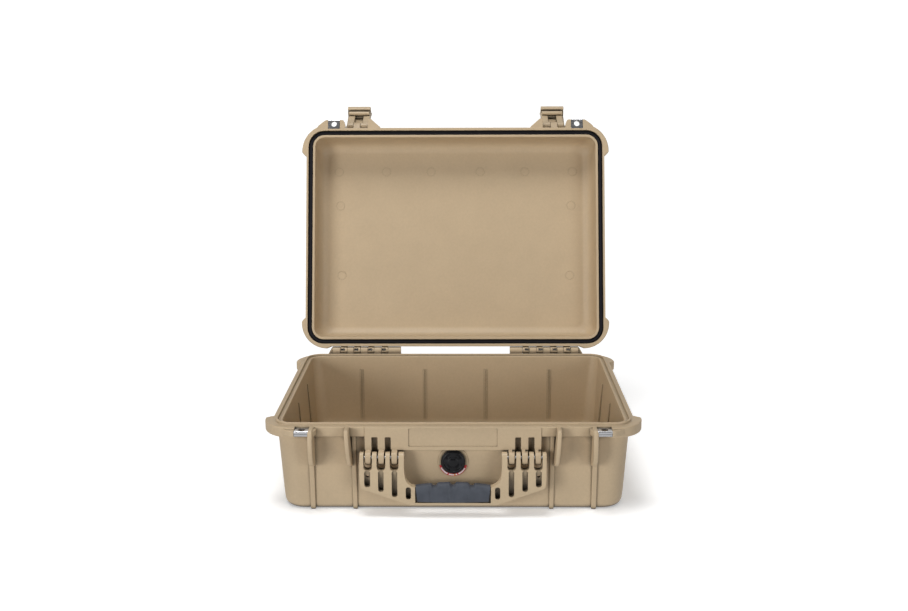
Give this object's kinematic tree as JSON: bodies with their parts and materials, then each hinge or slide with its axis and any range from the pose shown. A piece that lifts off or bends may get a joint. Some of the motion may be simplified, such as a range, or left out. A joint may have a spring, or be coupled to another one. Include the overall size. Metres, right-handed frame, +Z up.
{
  "type": "hard equipment case",
  "caption": "Open moulded hard case with hinged lid, snap latches, folding rubber-gripped handle, pressure valve, lid gasket and steel padlock plates.",
  "frame": {"origin": "middle of the bottom face of the base, on the surface it stands on", "axes": "+Z up, +X to the right, +Y to the hinges at the back, the handle and latches face -Y"},
  "size_m": [0.508, 0.5865, 0.5079],
  "materials": {
    "tan_plastic": "fine moulded texture",
    "tan_handle_plastic": "fine moulded texture",
    "gasket_rubber": "matte rubber",
    "grip_rubber": "matte over-moulded rubber",
    "stainless_steel": "brushed stainless",
    "black_plastic": "satin moulded",
    "label_film": "printed film, no lettering"
  },
  "bodies": {
    "base": {"base_shell": "tan_plastic", "base_padlock_plate_left": "stainless_steel", "base_padlock_plate_right": "stainless_steel", "hinge_pin_left": "stainless_steel", "hinge_pin_right": "stainless_steel", "handle_pin_left": "stainless_steel", "handle_pin_right": "stainless_steel", "valve_body": "black_plastic", "valve_o_ring": "gasket_rubber", "valve_membrane": "gasket_rubber", "valve_nut": "black_plastic", "valve_label": "label_film"},
    "lid": {"lid_shell": "tan_plastic", "lid_gasket": "gasket_rubber", "lid_padlock_plate_left": "stainless_steel", "lid_padlock_plate_right": "stainless_steel", "latch_pin_left": "stainless_steel", "latch_pin_right": "stainless_steel"},
    "latch_left": {"latch_left": "tan_handle_plastic"},
    "latch_right": {"latch_right": "tan_handle_plastic"},
    "handle": {"handle_frame": "tan_handle_plastic", "handle_grip": "grip_rubber"},
    "valve_knob": {"valve_knob": "black_plastic"}
  },
  "joints": [
    {"name": "lid_hinge", "type": "hinge", "parent": "base", "child": "lid", "pos_m": [0, 0.1856, 0.1259], "axis": [1, 0, 0], "range_deg": [0, 106]},
    {"name": "latch_left_hinge", "type": "hinge", "parent": "lid", "child": "latch_left", "pos_m": [-0.16365, 0.31257, 0.47763], "axis": [1, 0, 0], "range_deg": [0, 140]},
    {"name": "latch_right_hinge", "type": "hinge", "parent": "lid", "child": "latch_right", "pos_m": [0.16365, 0.31257, 0.47763], "axis": [1, 0, 0], "range_deg": [0, 140]},
    {"name": "handle_swing", "type": "hinge", "parent": "base", "child": "handle", "pos_m": [0, -0.185, 0.08], "axis": [-1, 0, 0], "range_deg": [0, 95]},
    {"name": "valve_turn", "type": "hinge", "parent": "base", "child": "valve_knob", "pos_m": [0, -0.1715, 0.0697], "axis": [0, -1, 0], "range_deg": [0, 180]}
  ]
}
